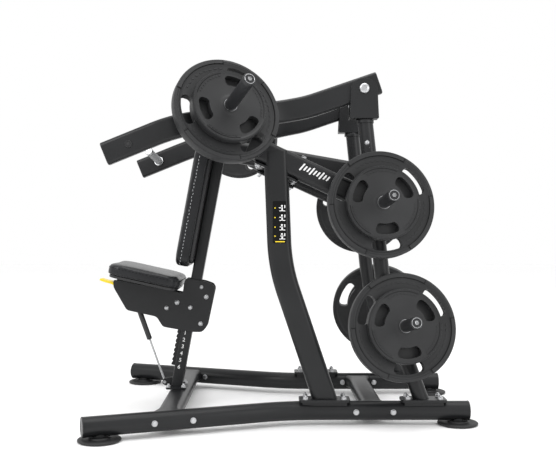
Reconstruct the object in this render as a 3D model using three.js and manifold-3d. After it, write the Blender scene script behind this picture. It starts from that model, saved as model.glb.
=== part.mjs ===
// Plate-loaded shoulder press machine: base rails, bent frame, seat on a ratchet post, two press arms, weight plates.
// Millimetres. X is across, positive to the seated user's left. Y is along the machine, negative at the front, where
// the user faces. Z is up, zero on the floor.
import * as THREE from 'three';
import { mergeVertices } from 'three/addons/utils/BufferGeometryUtils.js';
import Module from 'manifold-3d';

const wasm = await Module();
wasm.setup();

// ---- driving dimensions ----
const GAP = 0.3;

const RAIL_RADIUS = 40;
const RAIL_HEIGHT = 59.5;
const RAIL_HALF_SPACING = 335;
const RAIL_FRONT_HALF_SPACING = 636;
const RAIL_FRONT_Y = -773;
const RAIL_BEND_Y = 36;
const RAIL_REAR_Y = 786;
const FOOT_RADIUS = 85;
const FOOT_HEIGHT = 17.7;
const FRONT_FOOT_Y = -712;
const REAR_FOOT_Y = 743;

const OVAL_DEPTH = 102;
const OVAL_WIDTH = 52;
const FRONT_MEMBER_Y = -462;
const REAR_MEMBER_Y = 387;
const MEMBER_WIDTH = 98;
const MEMBER_HEIGHT = 60;
const MEMBER_CENTRE_Z = 62;

const COLUMN_RADIUS = 32.5;
const PIVOT_X = 285;
const PIVOT_Y = 352;
const PIVOT_Z = 1420;
const AXLE_RADIUS = 12;

const ARM_DEPTH = 96;
const ARM_WIDTH = 50;

const SLEEVE_RADIUS = 24.8;
const BORE_RADIUS = 25.8;
const LARGE_PLATE_RADIUS = 225;
const LARGE_PLATE_THICKNESS = 42;
const SMALL_PLATE_RADIUS = 155;
const SMALL_PLATE_THICKNESS = 34;

const POST_LEAN = 0.185;
const POST_Y_AT_350 = -430.4;
const POST_DEPTH = 50;
const POST_WIDTH = 60;
const SEAT_TILT = THREE.MathUtils.degToRad(12.5);

const v3 = (x, y, z) => new THREE.Vector3(x, y, z);
const postY = (z) => POST_Y_AT_350 + POST_LEAN * (z - 350);

// Centre lines of the left-hand pieces.
const RAIL_LINE = [
  v3(RAIL_FRONT_HALF_SPACING, RAIL_FRONT_Y, RAIL_HEIGHT),
  v3(RAIL_HALF_SPACING, RAIL_BEND_Y, RAIL_HEIGHT),
  v3(RAIL_HALF_SPACING, RAIL_REAR_Y, RAIL_HEIGHT),
];
const UPRIGHT_LINE = [v3(330, -27, 1230), v3(330, -5, 664), v3(335, 191, 84)];
const COLUMN_LINE = [v3(281, 358, 1296), v3(300, 441, 520), v3(335, 597, 84)];
const SIDE_TUBE_LINE = [v3(331, -138, 1178), v3(303, 396, 932)];
const BEAM_LINE = [v3(0, -286, 1190.5), v3(0, 382, 1073)];
const ARM_LINE = [
  v3(PIVOT_X, 414, 1447),
  v3(PIVOT_X, 112, 1344),
  v3(290, 12, 1325),
  v3(475, -433, 1243),
  v3(475, -716, 1128),
];

// Pegs: a root on the centre line of the tube that carries it, and the way the sleeve points.
const ARM_PEG = { root: v3(404, -256, 1275), way: v3(1, 0.426, 0.381), stop: 62, tip: 357, turn: 63 };
const UPPER_PEG = { root: v3(290, 400, 909), way: v3(1, 0.133, 0.167), stop: 76, tip: 305, turn: -85 };
const LOWER_PEG = { root: v3(310, 485, 398), way: v3(1, 0.138, 0.209), stop: 78, tip: 302, turn: -85 };

// ---- geometry helpers ----
function closed(positions, triangles) {
  const kept = [];
  let volume = 0;
  const a = v3();
  const b = v3();
  const c = v3();
  for (const [i, j, k] of triangles) {
    if (i === j || j === k || k === i) continue;
    kept.push(i, j, k);
    a.fromArray(positions, 3 * i);
    b.fromArray(positions, 3 * j);
    c.fromArray(positions, 3 * k);
    volume += a.dot(b.cross(c));
  }
  if (volume < 0) {
    for (let i = 0; i < kept.length; i += 3) {
      const swap = kept[i];
      kept[i] = kept[i + 1];
      kept[i + 1] = swap;
    }
  }
  const geometry = new THREE.BufferGeometry();
  geometry.setAttribute('position', new THREE.Float32BufferAttribute(positions, 3));
  geometry.setIndex(kept);
  return geometry;
}

// A solid through a list of equal rings, flat at both ends, or joined end to end when looped.
function loft(rings, looped = false) {
  const positions = [];
  const triangles = [];
  const count = rings[0].length;
  for (const ring of rings) for (const p of ring) positions.push(p.x, p.y, p.z);
  const steps = looped ? rings.length : rings.length - 1;
  for (let r = 0; r < steps; r += 1) {
    const here = r * count;
    const next = ((r + 1) % rings.length) * count;
    for (let i = 0; i < count; i += 1) {
      const j = (i + 1) % count;
      triangles.push([here + i, here + j, next + j], [here + i, next + j, next + i]);
    }
  }
  if (!looped) {
    const last = (rings.length - 1) * count;
    for (let i = 1; i < count - 1; i += 1) {
      triangles.push([0, i + 1, i], [last, last + i, last + i + 1]);
    }
  }
  return closed(positions, triangles);
}

// Rounds the corners of a centre line.
function rounded(line, reach, steps = 4) {
  const points = [line[0].clone()];
  for (let i = 1; i < line.length - 1; i += 1) {
    const before = line[i - 1].clone().sub(line[i]);
    const after = line[i + 1].clone().sub(line[i]);
    const r = Math.min(reach, before.length() * 0.45, after.length() * 0.45);
    const start = line[i].clone().addScaledVector(before.normalize(), r);
    const end = line[i].clone().addScaledVector(after.normalize(), r);
    for (let s = 0; s <= steps; s += 1) {
      const t = s / steps;
      const p = start.clone().multiplyScalar((1 - t) * (1 - t));
      p.addScaledVector(line[i], 2 * t * (1 - t)).addScaledVector(end, t * t);
      points.push(p);
    }
  }
  points.push(line[line.length - 1].clone());
  return points;
}

// Sweeps a profile of [sideways, upward] pairs along a line; side is the direction kept for the profile's width.
function sweep(line, profile, side) {
  const rings = line.map((p, i) => {
    const along = v3();
    if (i > 0) along.add(p.clone().sub(line[i - 1]).normalize());
    if (i < line.length - 1) along.add(line[i + 1].clone().sub(p).normalize());
    along.normalize();
    const up = along.clone().cross(side).normalize();
    const across = up.clone().cross(along).normalize();
    return profile.map(([u, w]) => p.clone().addScaledVector(across, u).addScaledVector(up, w));
  });
  return loft(rings);
}

function circle(radius, segments) {
  const points = [];
  for (let i = 0; i < segments; i += 1) {
    const angle = (2 * Math.PI * (i + 0.5)) / segments;
    points.push([radius * Math.cos(angle), radius * Math.sin(angle)]);
  }
  return points;
}

function roundedBox(width, height, radius, steps = 2) {
  const points = [];
  for (let corner = 0; corner < 4; corner += 1) {
    const sx = corner === 0 || corner === 3 ? 1 : -1;
    const sy = corner < 2 ? 1 : -1;
    for (let s = 0; s <= steps; s += 1) {
      const angle = (Math.PI / 2) * (corner + s / steps);
      const x = sx * (width / 2 - radius) + radius * Math.cos(angle);
      const y = sy * (height / 2 - radius) + radius * Math.sin(angle);
      points.push([x, y]);
    }
  }
  return points;
}

// A body of revolution about Z from [radius, height] pairs. It starts and ends on the axis, or closes on itself.
function turned(profile, segments) {
  const positions = [];
  const triangles = [];
  const starts = profile.map(([r, z]) => {
    const first = positions.length / 3;
    const count = r === 0 ? 1 : segments;
    for (let i = 0; i < count; i += 1) {
      const angle = (2 * Math.PI * i) / segments;
      positions.push(r * Math.cos(angle), r * Math.sin(angle), z);
    }
    return first;
  });
  const open = profile[0][0] === 0;
  const steps = open ? profile.length - 1 : profile.length;
  for (let p = 0; p < steps; p += 1) {
    const q = (p + 1) % profile.length;
    for (let i = 0; i < segments; i += 1) {
      const j = (i + 1) % segments;
      const a = starts[p] + (profile[p][0] === 0 ? 0 : i);
      const b = starts[p] + (profile[p][0] === 0 ? 0 : j);
      const c = starts[q] + (profile[q][0] === 0 ? 0 : j);
      const d = starts[q] + (profile[q][0] === 0 ? 0 : i);
      triangles.push([a, b, c], [a, c, d]);
    }
  }
  return closed(positions, triangles);
}

// Turns local Z to a direction, keeping local Y in the upward half, and moves the origin.
function placed(geometry, origin, way) {
  const z = way.clone().normalize();
  const x = v3(0, 0, 1).cross(z);
  if (x.length() < 1e-6) x.set(1, 0, 0);
  x.normalize();
  const y = z.clone().cross(x);
  const matrix = new THREE.Matrix4().makeBasis(x, y, z).setPosition(origin);
  return geometry.clone().applyMatrix4(matrix);
}

function box(cx, cy, cz, sx, sy, sz) {
  return new THREE.BoxGeometry(sx, sy, sz).translate(cx, cy, cz);
}

// A flat plate lying in the YZ plane from an outline of [y, z] pairs, between two X values.
function sidePlate(outline, x0, x1) {
  const shape = new THREE.Shape(outline.map(([y, z]) => new THREE.Vector2(y, z)));
  const geometry = new THREE.ExtrudeGeometry(shape, { depth: x1 - x0, bevelEnabled: false });
  const basis = new THREE.Matrix4().makeBasis(v3(0, 1, 0), v3(0, 0, 1), v3(1, 0, 0));
  return geometry.applyMatrix4(basis).translate(x0, 0, 0);
}

function hexagon(radius, height) {
  return turned([[0, 0], [radius, 0], [radius, height], [0, height]], 6);
}

function rod(from, to, radius, segments = 16) {
  const way = to.clone().sub(from);
  const length = way.length();
  return placed(turned([[0, 0], [radius, 0], [radius, length], [0, length]], segments), from, way);
}

function solid(geometry) {
  const plain = geometry.clone();
  plain.deleteAttribute('normal');
  plain.deleteAttribute('uv');
  const merged = mergeVertices(plain, 1e-3);
  return new wasm.Manifold(new wasm.Mesh({
    numProp: 3,
    vertProperties: new Float32Array(merged.attributes.position.array),
    triVerts: new Uint32Array(merged.index.array),
  }));
}

function surface(body) {
  const mesh = body.getMesh();
  const geometry = new THREE.BufferGeometry();
  geometry.setAttribute('position', new THREE.Float32BufferAttribute(mesh.vertProperties, 3));
  geometry.setIndex(Array.from(mesh.triVerts));
  return geometry;
}

function join(first, ...others) {
  let body = solid(first);
  for (const other of others) body = body.add(solid(other));
  return surface(body);
}

function cut(first, ...others) {
  let body = solid(first);
  for (const other of others) body = body.subtract(solid(other));
  return surface(body);
}

function mirrored(geometry) {
  const flipped = geometry.clone().applyMatrix4(new THREE.Matrix4().makeScale(-1, 1, 1));
  const source = flipped.index ? flipped : mergeVertices(flipped, 1e-4);
  const index = Array.from(source.index.array);
  for (let i = 0; i < index.length; i += 3) {
    const swap = index[i];
    index[i] = index[i + 1];
    index[i + 1] = swap;
  }
  source.setIndex(index);
  return source;
}

// ---- materials and the group ----
const FINISHES = {
  frame: { color: 0x35373a, roughness: 0.45, metalness: 0.55 },
  steel: { color: 0xb9bcc0, roughness: 0.28, metalness: 0.95 },
  iron: { color: 0x3d3f42, roughness: 0.6, metalness: 0.35 },
  rubber: { color: 0x161617, roughness: 0.85, metalness: 0 },
  vinyl: { color: 0x55575b, roughness: 0.5, metalness: 0 },
  plastic: { color: 0x1b1c1e, roughness: 0.5, metalness: 0 },
  yellow: { color: 0xf2c80f, roughness: 0.4, metalness: 0 },
};
const group = new THREE.Group();
group.name = 'shoulder_press_machine';

function piece(name, finish, geometry) {
  const shaded = geometry.clone();
  shaded.deleteAttribute('uv');
  shaded.computeVertexNormals();
  const mesh = new THREE.Mesh(shaded, new THREE.MeshStandardMaterial(FINISHES[finish]));
  mesh.name = name;
  group.add(mesh);
}

function pair(name, finish, geometry) {
  piece(`left_${name}`, finish, geometry);
  piece(`right_${name}`, finish, mirrored(geometry));
}

// ---- base rails, plugs and feet ----
const X_AXIS = v3(1, 0, 0);
const Y_AXIS = v3(0, 1, 0);
const railCurve = rounded(RAIL_LINE, 130, 4);
const railShape = (extra, segments = 16) => sweep(railCurve, circle(RAIL_RADIUS + extra, segments), v3(0, 0, 1));
const railClearance = railShape(GAP);

function railX(y) {
  if (y >= RAIL_BEND_Y) return RAIL_HALF_SPACING;
  const share = (RAIL_BEND_Y - y) / (RAIL_BEND_Y - RAIL_FRONT_Y);
  return RAIL_HALF_SPACING + share * (RAIL_FRONT_HALF_SPACING - RAIL_HALF_SPACING);
}

const frontWay = RAIL_LINE[0].clone().sub(RAIL_LINE[1]).normalize();
const frontOut = v3(-frontWay.y, frontWay.x, 0);
const railParts = [railShape(0)];
for (const y of [FRONT_FOOT_Y, REAR_FOOT_Y]) {
  railParts.push(rod(v3(railX(y), y, FOOT_HEIGHT + GAP), v3(railX(y), y, 40), 26, 8));
}
for (const y of [FRONT_MEMBER_Y - 53, FRONT_MEMBER_Y + 94]) {
  const seat = v3(railX(y), y, RAIL_HEIGHT).addScaledVector(frontOut, RAIL_RADIUS - 3);
  railParts.push(placed(hexagon(12, 12), seat, frontOut));
}
for (const y of [REAR_MEMBER_Y - 75, REAR_MEMBER_Y + 80]) {
  railParts.push(placed(hexagon(12, 12), v3(railX(y) + RAIL_RADIUS - 3, y, RAIL_HEIGHT), X_AXIS));
}
// Shallow plastic-lined caps close the rail ends; they are fixed for good, so they belong to the rail.
const plugShape = turned([[0, -6], [RAIL_RADIUS + 1, -6], [RAIL_RADIUS + 1, 2], [RAIL_RADIUS - 4, 5], [0, 5]], 16);
railParts.push(placed(plugShape, RAIL_LINE[0], frontWay), placed(plugShape, RAIL_LINE[2], Y_AXIS));
pair('rail', 'frame', join(...railParts));

const footShape = turned([
  [0, 0],
  [FOOT_RADIUS - 5, 0],
  [FOOT_RADIUS, 4],
  [FOOT_RADIUS, 10],
  [FOOT_RADIUS - 14, FOOT_HEIGHT],
  [0, FOOT_HEIGHT],
], 20);
pair('front_foot', 'rubber', footShape.clone().translate(railX(FRONT_FOOT_Y), FRONT_FOOT_Y, 0));
pair('rear_foot', 'rubber', footShape.clone().translate(railX(REAR_FOOT_Y), REAR_FOOT_Y, 0));

// ---- crossmembers between the rails, flared where they meet them ----
function crossmember(y, halfLength, flare) {
  const rings = [];
  for (const [x, spread] of [[-1, flare], [-0.9, flare * 0.45], [-0.78, 0], [0.78, 0], [0.9, flare * 0.45], [1, flare]]) {
    const profile = roundedBox(MEMBER_WIDTH + 2 * spread, MEMBER_HEIGHT, 26, 3);
    rings.push(profile.map(([u, w]) => v3(x * halfLength, y + u, MEMBER_CENTRE_Z + w)));
  }
  return cut(loft(rings), railClearance, mirrored(railClearance));
}
piece('front_crossmember', 'frame', crossmember(FRONT_MEMBER_Y, railX(FRONT_MEMBER_Y) - 16, 26));
piece('rear_crossmember', 'frame', crossmember(REAR_MEMBER_Y, RAIL_HALF_SPACING - 22, 24));

// ---- uprights, side tubes and the bars between them ----
const ovalProfile = roundedBox(OVAL_WIDTH, OVAL_DEPTH, 25, 3);
const sideTubeShape = (extra) => sweep(
  SIDE_TUBE_LINE,
  roundedBox(OVAL_WIDTH + 2 * extra, OVAL_DEPTH - 4 + 2 * extra, 25 + extra, 3),
  X_AXIS,
);

// A bolted foot plate that saddles the rail, with its nuts.
function railFlange(centreY, length, width, nutReach) {
  const parts = [
    box(RAIL_HALF_SPACING, centreY, RAIL_HEIGHT + RAIL_RADIUS + 6, width, length, 11),
    box(RAIL_HALF_SPACING, centreY, RAIL_HEIGHT + 30, 64, length - 24, 24),
  ];
  for (const sx of [-1, 1]) {
    for (const sy of [-1, 1]) {
      const nut = hexagon(11, 16).translate(
        RAIL_HALF_SPACING + sx * (width / 2 - 17),
        centreY + sy * nutReach,
        RAIL_HEIGHT + RAIL_RADIUS + 10,
      );
      parts.push(nut);
    }
  }
  return parts;
}

const sideWay = SIDE_TUBE_LINE[1].clone().sub(SIDE_TUBE_LINE[0]).normalize();
const sideDown = sideWay.clone().cross(X_AXIS).normalize();
if (sideDown.z > 0) sideDown.negate();
const tubeAt = (y) => SIDE_TUBE_LINE[0].clone().addScaledVector(sideWay, (y - SIDE_TUBE_LINE[0].y) / sideWay.y);

// The flange under the side tube, with a bolt at each end.
function tubeFlange() {
  const middle = tubeAt(0).addScaledVector(sideDown, OVAL_DEPTH / 2 + 2);
  const basis = new THREE.Matrix4().makeBasis(X_AXIS, sideWay, X_AXIS.clone().cross(sideWay));
  const plate = new THREE.BoxGeometry(54, 196, 10).applyMatrix4(basis).translate(middle.x, middle.y, middle.z);
  const heads = [-82, 82].map((reach) => {
    const seat = middle.clone().addScaledVector(sideWay, reach).addScaledVector(sideDown, 3);
    return placed(hexagon(13, 18), seat, sideDown);
  });
  return [plate, ...heads];
}

const uprightBody = join(
  sweep(rounded(UPRIGHT_LINE, 110, 4), ovalProfile, X_AXIS),
  ...tubeFlange(),
  ...railFlange(181, 214, 96, 80),
);
// Everything above the side tube's underside is trimmed from the upright. A sweep that runs towards positive Y has its
// upward profile axis pointing down.
const aboveTube = sweep(
  [SIDE_TUBE_LINE[0].clone().addScaledVector(sideWay, -60), SIDE_TUBE_LINE[1]],
  [[-60, OVAL_DEPTH / 2 - 2 + GAP], [60, OVAL_DEPTH / 2 - 2 + GAP], [60, -260], [-60, -260]],
  X_AXIS,
);
pair('upright', 'frame', cut(uprightBody, aboveTube, railClearance));

const columnCurve = rounded(COLUMN_LINE, 120, 4);
const columnShape = (extra) => sweep(columnCurve, circle(COLUMN_RADIUS + extra, 14), X_AXIS);
const columnClearance = columnShape(GAP);
const tubeNuts = [-82, 82].map((reach) => {
  const seat = tubeAt(0).addScaledVector(sideWay, reach).addScaledVector(sideDown, -(OVAL_DEPTH / 2 - 4));
  return placed(hexagon(11, 14), seat, sideDown.clone().negate());
});
pair('side_tube', 'frame', cut(join(sideTubeShape(0), ...tubeNuts), columnClearance));


const beamShape = (extra) => sweep(
  BEAM_LINE,
  roundedBox(OVAL_WIDTH + 2 * extra, OVAL_DEPTH - 2 + 2 * extra, 25 + extra, 3),
  X_AXIS,
);
const barProfile = roundedBox(50, 90, 24, 3);
function crossbar(y, z, halfLength) {
  return sweep([v3(-halfLength, y, z), v3(halfLength, y, z)], barProfile, Y_AXIS);
}
const sideClearance = sideTubeShape(GAP);
const FRONT_BAR_Y = -93;
const FRONT_BAR_Z = 1157;
const frontBar = cut(crossbar(FRONT_BAR_Y, FRONT_BAR_Z, 325), sideClearance, mirrored(sideClearance));
const REAR_BAR_Y = 382;
const REAR_BAR_Z = 1074;
const rearBar = cut(crossbar(REAR_BAR_Y, REAR_BAR_Z, 285), columnClearance, mirrored(columnClearance));
const barClearance = (y, z) => sweep([v3(-200, y, z), v3(200, y, z)], roundedBox(50.6, 90.6, 24.3, 3), Y_AXIS);
piece('rear_crossbar', 'frame', rearBar);
piece('front_crossbar', 'frame', frontBar);
piece('centre_beam', 'frame', cut(
  beamShape(0),
  barClearance(REAR_BAR_Y, REAR_BAR_Z),
  barClearance(FRONT_BAR_Y, FRONT_BAR_Z),
));
const beamClearance = beamShape(GAP);

// ---- rear columns with their pivot yokes ----
function yoke() {
  const floor = 1294;
  const outline = [[PIVOT_Y - 62, floor], [PIVOT_Y + 62, floor]];
  for (let s = 0; s <= 5; s += 1) {
    const angle = (Math.PI * s) / 5;
    outline.push([PIVOT_Y + 56 * Math.cos(angle), PIVOT_Z + 44 * Math.sin(angle)]);
  }
  const inner = PIVOT_X - ARM_WIDTH / 2 - 3;
  const outer = PIVOT_X + ARM_WIDTH / 2 + 3;
  return [
    sidePlate(outline, outer, outer + 9),
    sidePlate(outline, inner - 9, inner),
    box(PIVOT_X, PIVOT_Y, floor + 4, ARM_WIDTH + 20, 122, 10),
  ];
}
const axleHole = (radius) => rod(v3(PIVOT_X - 60, PIVOT_Y, PIVOT_Z), v3(PIVOT_X + 60, PIVOT_Y, PIVOT_Z), radius, 16);
const columnBody = join(
  columnShape(0),
  ...yoke(),
  ...railFlange(597, 190, 92, 68),
  rod(v3(300, 364, 1190), v3(322, 364, 1190), 9, 8),
);
pair('column', 'frame', cut(columnBody, axleHole(AXLE_RADIUS + GAP), railClearance));

const headX = ARM_WIDTH / 2 + 12 + GAP;
pair('pivot_axle', 'steel', placed(turned([
  [0, -headX - 10],
  [17, -headX - 10],
  [17, -headX],
  [AXLE_RADIUS, -headX],
  [AXLE_RADIUS, headX],
  [21, headX],
  [21, headX + 6],
  [15, headX + 10],
  [0, headX + 10],
], 16), v3(PIVOT_X, PIVOT_Y, PIVOT_Z), X_AXIS));

// ---- storage pegs and the pegs on the arms ----
function peg(spec, start) {
  return placed(turned([
    [0, start],
    [SLEEVE_RADIUS, start],
    [SLEEVE_RADIUS, spec.stop - 9],
    [38, spec.stop - 9],
    [38, spec.stop - 1],
    [SLEEVE_RADIUS, spec.stop - 1],
    [SLEEVE_RADIUS, spec.tip - 4],
    [SLEEVE_RADIUS - 4, spec.tip],
    [0, spec.tip],
  ], 14), spec.root, spec.way);
}
const sideTubeClearance = sideTubeShape(GAP);
pair('upper_peg', 'steel', cut(peg(UPPER_PEG, 22), columnClearance, sideTubeClearance));
pair('lower_peg', 'steel', cut(peg(LOWER_PEG, 22), columnClearance));

// ---- press arms ----
const armCurve = rounded(ARM_LINE, 90, 3);
const armShape = (extra) => sweep(
  armCurve,
  roundedBox(ARM_WIDTH + 2 * extra, ARM_DEPTH + 2 * extra, 16 + extra, 2),
  X_AXIS,
);
const armClearance = armShape(GAP);
const GRIP_CENTRE = v3(475, -618, 1167);
pair('arm', 'frame', cut(
  join(armShape(0), rod(GRIP_CENTRE.clone().add(v3(20, 0, 0)), GRIP_CENTRE.clone().add(v3(31, 0, 0)), 15, 12)),
  axleHole(AXLE_RADIUS + GAP),
));
pair('arm_peg', 'steel', cut(peg(ARM_PEG, 10), armClearance));

// Grips point inwards from the arms, tilted up and forward: a steel bar with a collar and an end cap, and a rubber sleeve on it.
const gripRoot = GRIP_CENTRE.clone().add(v3(-ARM_WIDTH / 2 - GAP, 0, 0));
const GRIP_WAY = v3(-1, -0.2, 0.25);
pair('grip_bar', 'steel', cut(placed(turned([
  [0, -8],
  [24, -8],
  [24, 8],
  [12, 10],
  [12, 152],
  [19, 152],
  [19, 160],
  [14, 164],
  [0, 164],
], 12), gripRoot, GRIP_WAY), armClearance));
pair('grip_sleeve', 'rubber', placed(turned([
  [12.6, 10.6],
  [17, 10.6],
  [19, 14],
  [18.2, 80],
  [19, 148],
  [17, 151.6],
  [12.6, 151.6],
], 12), gripRoot, GRIP_WAY));

// Rubber stops on the side tubes, under the arms.
const stopY = -110;
const stopX = 330;
pair('arm_stop', 'rubber', cut(
  rod(v3(stopX, stopY, 1172), v3(stopX, stopY, 1340), 25, 12),
  sideTubeClearance,
  sweep(armCurve, [[-60, -ARM_DEPTH / 2 - 2], [60, -ARM_DEPTH / 2 - 2], [60, 200], [-60, 200]], X_AXIS),
));

// ---- weight plates ----
function slotPrism(outline) {
  const shape = new THREE.Shape(outline.map(([x, y]) => new THREE.Vector2(x, y)));
  return new THREE.ExtrudeGeometry(shape, { depth: 80, bevelEnabled: false }).translate(0, 0, -20);
}

function arcSlot(inner, outer, spread, turn) {
  const outline = [];
  const middle = (inner + outer) / 2;
  for (let s = -1; s <= 1; s += 1) outline.push([outer, s * spread * 0.84]);
  outline.push([middle, spread]);
  for (let s = 1; s >= -1; s -= 2) outline.push([inner, s * spread * 0.84]);
  outline.push([middle, -spread]);
  return slotPrism(outline.map(([r, degrees]) => {
    const angle = THREE.MathUtils.degToRad(degrees + turn);
    return [r * Math.cos(angle), r * Math.sin(angle)];
  }));
}

function plate(radius, thickness, rim, web, dish, hub, slot, turn) {
  const body = turned([
    [BORE_RADIUS, dish / 2],
    [web, dish],
    [rim, 0],
    [radius, 0],
    [radius, thickness],
    [rim, thickness],
    [web, thickness - dish],
    [hub + 14, thickness - dish],
    [hub, thickness],
    [BORE_RADIUS, thickness],
  ], radius > 200 ? 22 : 18);
  const slots = [0, 120, 240].map((step) => arcSlot(slot[0], slot[1], slot[2], turn + step));
  return cut(body, ...slots);
}

// The small plate on each arm sits a little further round than the large one behind it.
const SMALL_TURN = { arm: 7, upper: 0, lower: 0 };
for (const [name, spec] of [['arm', ARM_PEG], ['upper', UPPER_PEG], ['lower', LOWER_PEG]]) {
  const way = spec.way.clone().normalize();
  const large = plate(LARGE_PLATE_RADIUS, LARGE_PLATE_THICKNESS, 208, 201, 11, 46, [152, 196, 21], spec.turn);
  const small = plate(SMALL_PLATE_RADIUS, SMALL_PLATE_THICKNESS, 145, 138, 6, 38, [90, 132, 25], spec.turn + SMALL_TURN[name]);
  const largeSeat = spec.root.clone().addScaledVector(way, spec.stop);
  const smallSeat = spec.root.clone().addScaledVector(way, spec.stop + LARGE_PLATE_THICKNESS + 2 * GAP);
  pair(`${name}_large_plate`, 'iron', placed(large, largeSeat, way));
  pair(`${name}_small_plate`, 'iron', placed(small, smallSeat, way));
}

// ---- seat post, rack and back pad ----
const postLine = (z0, z1) => [v3(0, postY(z0), z0), v3(0, postY(z1), z1)];
const postShape = (extra) => sweep(
  postLine(70, 1200),
  roundedBox(POST_WIDTH + 2 * extra, POST_DEPTH + 2 * extra, 6 + extra, 1),
  X_AXIS,
);
const BASE_TOP = MEMBER_CENTRE_Z + MEMBER_HEIGHT / 2;
const basePlate = box(0, postY(100), BASE_TOP + GAP + 4.5, 118, 92, 9);
const baseNuts = [];
for (const sx of [-46, 46]) {
  for (const sy of [-34, 34]) baseNuts.push(hexagon(10, 13).translate(sx, postY(100) + sy, BASE_TOP + 8));
}

// The gas spring leans forward from the foot of the post to a pin under the seat.
const STRUT_FOOT = v3(0, -532, 120);
const STRUT_HEAD = v3(0, -681, 532);
const strutEars = [-13, 8].map((x) => sidePlate(
  [[-500, 100], [-478, 168], [-494, 172], [-540, 134], [-545, 116], [-534, 104]],
  x,
  x + 5,
));
piece('seat_post', 'frame', cut(
  join(postShape(0), basePlate, ...baseNuts, ...strutEars, box(0, -500, 106, 26, 40, 12)),
  box(0, postY(80), 0, 200, 200, 2 * (BASE_TOP + GAP)),
  beamClearance,
  box(0, -200, 1300, 200, 300, 200),
));

const RACK_DEPTH = 18;
const rackOutline = [];
const rackAlong = (z, out) => [postY(z) - (POST_DEPTH / 2) * 1.0165 - GAP - out, z];
rackOutline.push(rackAlong(196, 0), rackAlong(600, 0));
for (let z = 594; z > 200; z -= 21) {
  rackOutline.push(rackAlong(z, RACK_DEPTH - 7), rackAlong(z - 10, RACK_DEPTH), rackAlong(z - 16, RACK_DEPTH));
}
piece('ratchet_rack', 'frame', sidePlate(rackOutline, -15, 15));

const LEAN = Math.atan(POST_LEAN);
function leaned(geometry, centreZ) {
  const y = postY(centreZ) - (POST_DEPTH / 2) * 1.0165;
  return geometry.clone().rotateX(-LEAN).translate(0, y, centreZ);
}
const padLength = 566;
const boardShape = box(0, -6 - GAP, 0, 250, 12, padLength - 50);
piece('back_pad_board', 'plastic', leaned(boardShape, 922));
const backPadRings = [[-12 - 2 * GAP, 8], [-22, 0], [-64, 0], [-75, 8], [-78, 24]].map(([y, inset]) => (
  roundedBox(300 - 2 * inset, padLength - 2 * inset, 40 - inset / 2, 3).map(([u, w]) => v3(u, y, w))
));
piece('back_pad', 'vinyl', leaned(loft(backPadRings), 922));

// ---- seat carriage: two side plates and their axles, guide rollers, pad, lever and gas spring ----
const plateOutline = [
  [-763, 592],
  [-763, 558],
  [-702, 452],
  [-566, 422],
  [-537, 376],
  [-402, 352],
  [-358, 352],
  [-336, 376],
  [-299, 552],
  [-308, 570],
  [-345, 584],
  [-432, 598],
  [-440, 576],
  [-446, 530],
];
const PLATE_INNER = POST_WIDTH / 2 + 6;
const carriageAxles = [
  [-360, 557, 7],
  [-520, 462, 8],
  [-472, 487, 8],
];
const carriageParts = [
  sidePlate(plateOutline, PLATE_INNER, PLATE_INNER + 6),
  sidePlate(plateOutline, -PLATE_INNER - 6, -PLATE_INNER),
  box(0, -752, 566, 2 * PLATE_INNER + 2, 8, 30),
];
for (const [y, z, radius] of carriageAxles) {
  carriageParts.push(rod(v3(-PLATE_INNER - 11, y, z), v3(PLATE_INNER + 11, y, z), radius, 8));
}
const ROLLERS = [[-339, 512], [-365, 390]];
for (const [y, z] of ROLLERS) {
  carriageParts.push(rod(v3(-PLATE_INNER - 12, y, z), v3(PLATE_INNER + 12, y, z), 7, 8));
}
piece('seat_carriage', 'frame', cut(join(...carriageParts), postShape(1.5)));
const rollerShape = turned([[8, -26], [16, -26], [16, 26], [8, 26]], 12);
ROLLERS.forEach(([y, z], i) => {
  const standOff = cut(placed(rollerShape, v3(0, y, z), X_AXIS), postShape(0.6));
  piece(`${i === 0 ? 'upper' : 'lower'}_roller`, 'plastic', standOff);
});

const SEAT_CENTRE = v3(0, -611, 596);
function seated(geometry) {
  return geometry.clone().rotateX(-SEAT_TILT).translate(SEAT_CENTRE.x, SEAT_CENTRE.y, SEAT_CENTRE.z);
}
piece('seat_board', 'plastic', seated(box(0, 0, -11, 360, 300, 12)));
const seatRings = [[-4.6, 8], [4, 0], [32, 0], [42, 8], [46, 28]].map(([z, inset]) => (
  roundedBox(400 - 2 * inset, 334 - 2 * inset, 60 - inset / 2, 3).map(([u, w]) => v3(u, w, z))
));
piece('seat_pad', 'vinyl', seated(loft(seatRings)));

piece('release_lever', 'yellow', join(
  sidePlate([[-757, 562], [-776, 572], [-828, 588], [-826, 596], [-774, 582], [-757, 574]], -30, 30),
));

const strutWay = STRUT_HEAD.clone().sub(STRUT_FOOT).normalize();
const eye = (centre, width) => rod(
  centre.clone().add(v3(-width / 2, 0, 0)),
  centre.clone().add(v3(width / 2, 0, 0)),
  9,
  12,
);
piece('gas_spring_rod', 'steel', join(
  eye(STRUT_FOOT, 14),
  rod(STRUT_FOOT.clone(), STRUT_FOOT.clone().addScaledVector(strutWay, 285), 4.5, 10),
));
const barrelProfile = [[0, 0], [12, 0], [12, 216], [7, 224], [7, 232], [0, 232]];
const barrelStart = STRUT_FOOT.clone().addScaledVector(strutWay, 205);
piece('gas_spring_barrel', 'plastic', cut(
  join(placed(turned(barrelProfile, 14), barrelStart, strutWay), eye(STRUT_HEAD, 30)),
  rod(STRUT_FOOT.clone(), STRUT_FOOT.clone().addScaledVector(strutWay, 410), 5.2, 10),
));

// ---- placard on the left upright's outer face ----
piece('placard', 'plastic', box(330 + OVAL_WIDTH / 2 + GAP + 0.8, -8, 853, 1.6, 56, 176));

export default group;
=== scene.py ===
import math

import bmesh
import bpy
from mathutils import Matrix, Vector
from mathutils.bvhtree import BVHTree


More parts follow.
